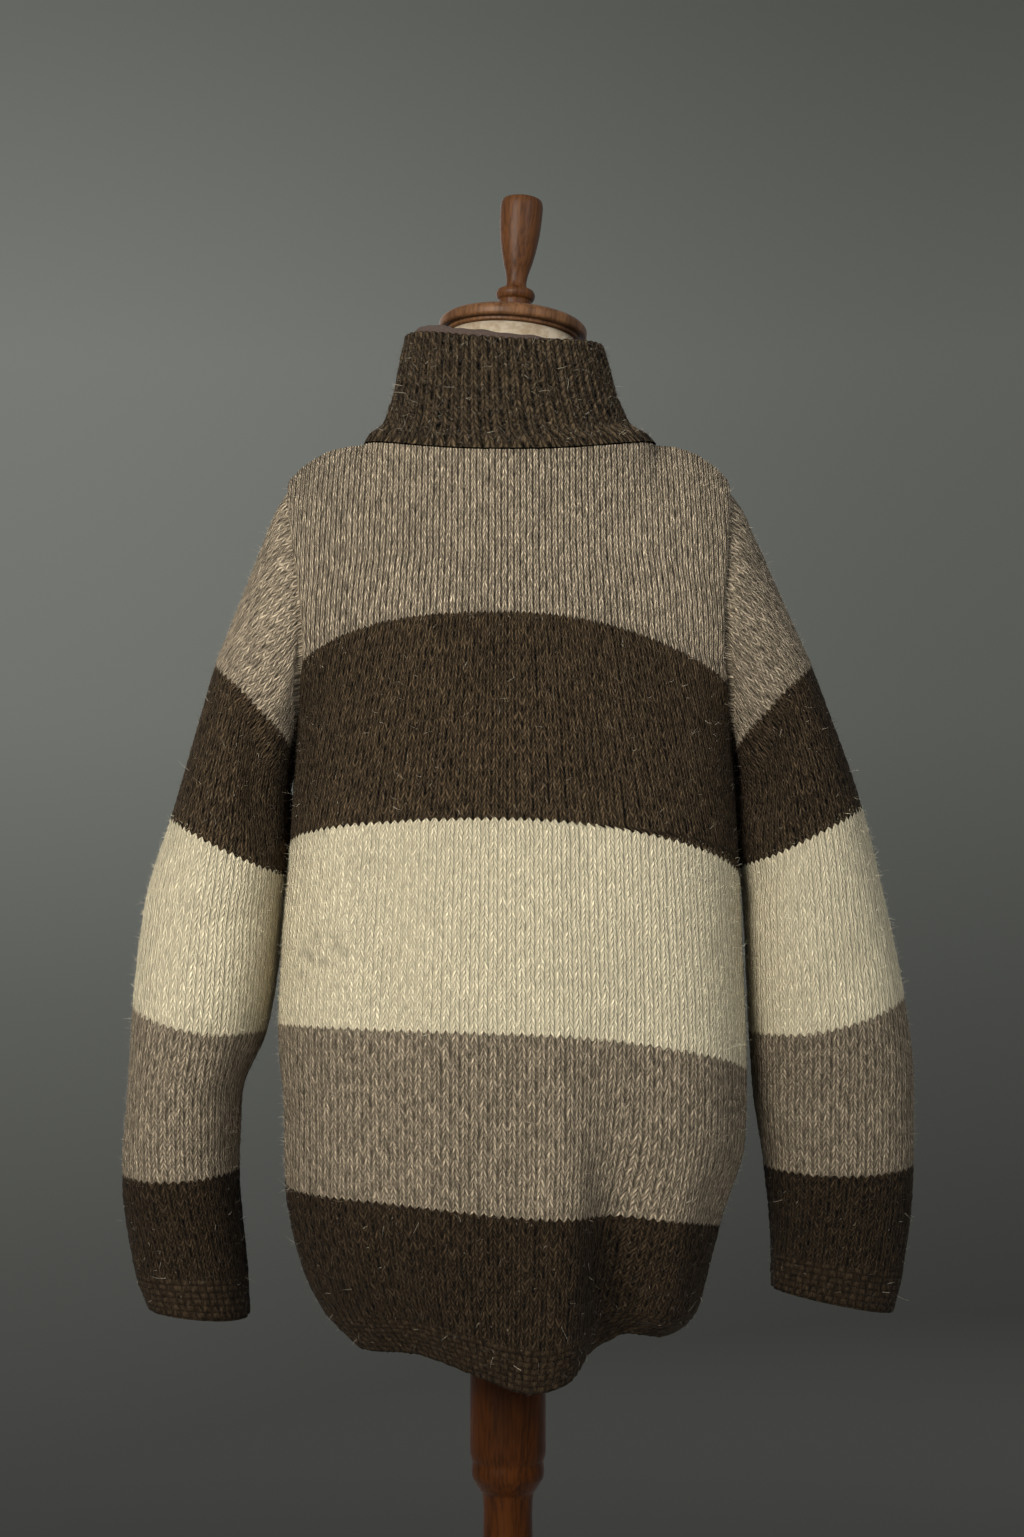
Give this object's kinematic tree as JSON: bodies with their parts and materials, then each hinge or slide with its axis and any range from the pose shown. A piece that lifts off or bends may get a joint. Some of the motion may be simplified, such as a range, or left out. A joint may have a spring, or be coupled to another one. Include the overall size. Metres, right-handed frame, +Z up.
{
  "type": "zip-up sweater on dress form",
  "caption": "Thick striped hand-knit sweater with a stand collar and a front zip, worn by a limbless dress form on a turned wooden stand.",
  "frame": {"origin": "centre of the base's flat underside, on the floor", "axes": "+Z up, -Y to the front of the garment where the zip is, +X to the wearer's left"},
  "size_m": [0.6238, 0.41, 1.6391],
  "materials": {
    "knit_taupe": "matte wool knit",
    "knit_dark": "matte wool knit",
    "facing": "matte cloth",
    "tape": "woven tape",
    "metal": "satin metal",
    "linen": "linen",
    "turned_wood": "satin varnish",
    "dark_wood": "satin varnish"
  },
  "bodies": {
    "sweater_on_form": {"back": "knit_taupe", "front_left": "knit_taupe", "front_right": "knit_taupe", "sleeve_left": "knit_taupe", "sleeve_right": "knit_taupe", "collar": "knit_dark", "collar_facing": "facing", "zip_tape_left": "tape", "zip_tape_right": "tape", "zip_slider": "metal", "zip_box": "metal", "form_torso": "linen", "neck_cap": "turned_wood", "finial": "turned_wood", "pole": "dark_wood", "base": "dark_wood"},
    "pull_tab": {"zip_pull": "metal"}
  },
  "joints": [
    {"name": "pull_hinge", "type": "hinge", "parent": "sweater_on_form", "child": "pull_tab", "pos_m": [0, -0.08751, 1.42816], "axis": [-1, 0, 0], "range_deg": [0, 120]}
  ]
}
